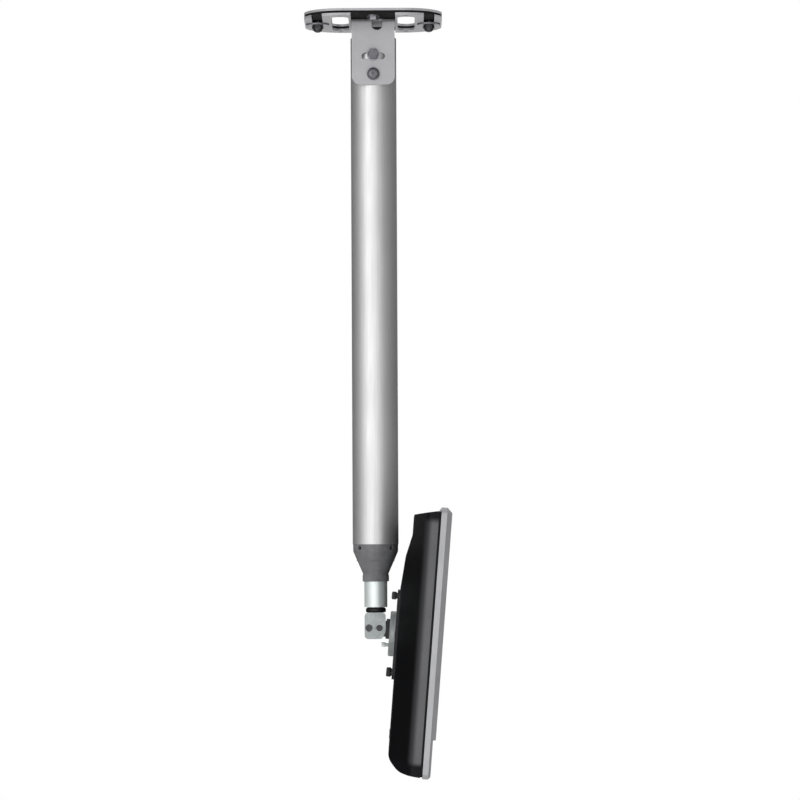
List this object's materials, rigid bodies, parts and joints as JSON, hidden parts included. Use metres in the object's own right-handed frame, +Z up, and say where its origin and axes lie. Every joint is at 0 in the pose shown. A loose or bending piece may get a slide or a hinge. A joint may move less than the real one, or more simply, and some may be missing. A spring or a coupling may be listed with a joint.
{
  "type": "display ceiling mount",
  "caption": "Flat display hung from a ceiling plate by a tilting telescopic pole, with a swivel, tilt and rotate head.",
  "frame": {"origin": "on the ceiling, at the centre of the ceiling plate's upper face, on the pole's axis", "axes": "+Z up, +X the way the display faces, +Y to the right of a person who looks at the screen"},
  "size_m": [0.1883, 0.372, 0.9903],
  "materials": {
    "painted_steel": "satin",
    "black_rubber": "matte",
    "zinc_steel": "satin",
    "dark_steel": "satin",
    "satin_aluminium": "satin",
    "grey_plastic": "matte",
    "bright_chrome": "polished",
    "black_nylon": "matte",
    "grey_casting": "cast, painted",
    "black_casting": "satin",
    "black_knobs": "black coated",
    "black_moulding": "fine grain",
    "grey_moulding": "satin",
    "silver_moulding": "metallic paint",
    "screen": "matte coated",
    "chassis_steel": "zinc plated",
    "circuit_board": "satin",
    "black_socket": "matte",
    "blue_socket": "matte",
    "grey_buttons": "satin"
  },
  "bodies": {
    "ceiling_mount": {"ceiling_plate": "painted_steel", "isolation_pad": "black_rubber", "pole_bracket": "painted_steel", "stud_washers": "zinc_steel", "dome_nuts": "dark_steel", "pad_screws": "zinc_steel"},
    "pole": {"outer_tube": "satin_aluminium", "pivot_bolt": "dark_steel", "clamp_bolt": "dark_steel", "cheek_washers": "zinc_steel", "cross_nuts": "zinc_steel", "bolt_spacers": "zinc_steel", "reducer_collar": "grey_plastic", "collar_screws": "dark_steel"},
    "drop_tube": {"inner_tube": "bright_chrome", "guide_bush": "black_nylon", "bush_pin": "zinc_steel", "end_plug": "zinc_steel", "swivel_washer": "black_nylon"},
    "swivel_fork": {"knuckle": "grey_casting", "swivel_bolt": "zinc_steel", "tilt_pivot_bolt": "dark_steel", "tilt_lock_bolt": "dark_steel"},
    "tilt_head": {"tilt_arm": "black_casting", "hub_disc": "grey_casting", "arm_screws": "zinc_steel", "axle_bolt": "zinc_steel", "rotation_lock_screw": "zinc_steel"},
    "display": {"vesa_plate": "black_casting", "vesa_screws": "black_knobs", "rear_cover": "black_moulding", "middle_frame": "grey_moulding", "front_bezel": "silver_moulding", "lcd_panel": "screen", "panel_chassis": "chassis_steel", "main_board": "circuit_board", "power_board": "circuit_board", "power_inlet": "black_socket", "video_port": "blue_socket"},
    "menu_button_1_body": {"menu_button_1": "grey_buttons"},
    "menu_button_2_body": {"menu_button_2": "grey_buttons"},
    "menu_button_3_body": {"menu_button_3": "grey_buttons"},
    "menu_button_4_body": {"menu_button_4": "grey_buttons"},
    "power_button_body": {"power_button": "grey_buttons"}
  },
  "joints": [
    {"name": "pole_tilt", "type": "hinge", "parent": "ceiling_mount", "child": "pole", "pos_m": [0, 0, -0.079], "axis": [0, 1, 0], "range_deg": [-25, 25]},
    {"name": "height_slide", "type": "slide", "parent": "pole", "child": "drop_tube", "axis": [0, 0, -1], "range_m": [-0.005, 0.495]},
    {"name": "head_swivel", "type": "hinge", "parent": "drop_tube", "child": "swivel_fork", "pos_m": [0, 0, -0.775], "axis": [0, 0, 1], "continuous": true},
    {"name": "display_tilt", "type": "hinge", "parent": "swivel_fork", "child": "tilt_head", "pos_m": [-0.0089, 0, -0.802], "axis": [0, 1, 0], "range_deg": [-4.5, 25.5]},
    {"name": "display_rotate", "type": "hinge", "parent": "tilt_head", "child": "display", "pos_m": [0.0274, 0, -0.8103], "axis": [0.9969, 0, -0.0785], "range_deg": [-90, 90]},
    {"name": "menu_button_1_press", "type": "slide", "parent": "display", "child": "menu_button_1_body", "axis": [-0.9969, 0, 0.0785], "range_m": [0, 0.0008], "stiffness_N_per_m": 1500},
    {"name": "menu_button_2_press", "type": "slide", "parent": "display", "child": "menu_button_2_body", "axis": [-0.9969, 0, 0.0785], "range_m": [0, 0.0008], "stiffness_N_per_m": 1500},
    {"name": "menu_button_3_press", "type": "slide", "parent": "display", "child": "menu_button_3_body", "axis": [-0.9969, 0, 0.0785], "range_m": [0, 0.0008], "stiffness_N_per_m": 1500},
    {"name": "menu_button_4_press", "type": "slide", "parent": "display", "child": "menu_button_4_body", "axis": [-0.9969, 0, 0.0785], "range_m": [0, 0.0008], "stiffness_N_per_m": 1500},
    {"name": "power_button_press", "type": "slide", "parent": "display", "child": "power_button_body", "axis": [-0.9969, 0, 0.0785], "range_m": [0, 0.0008], "stiffness_N_per_m": 1500}
  ]
}
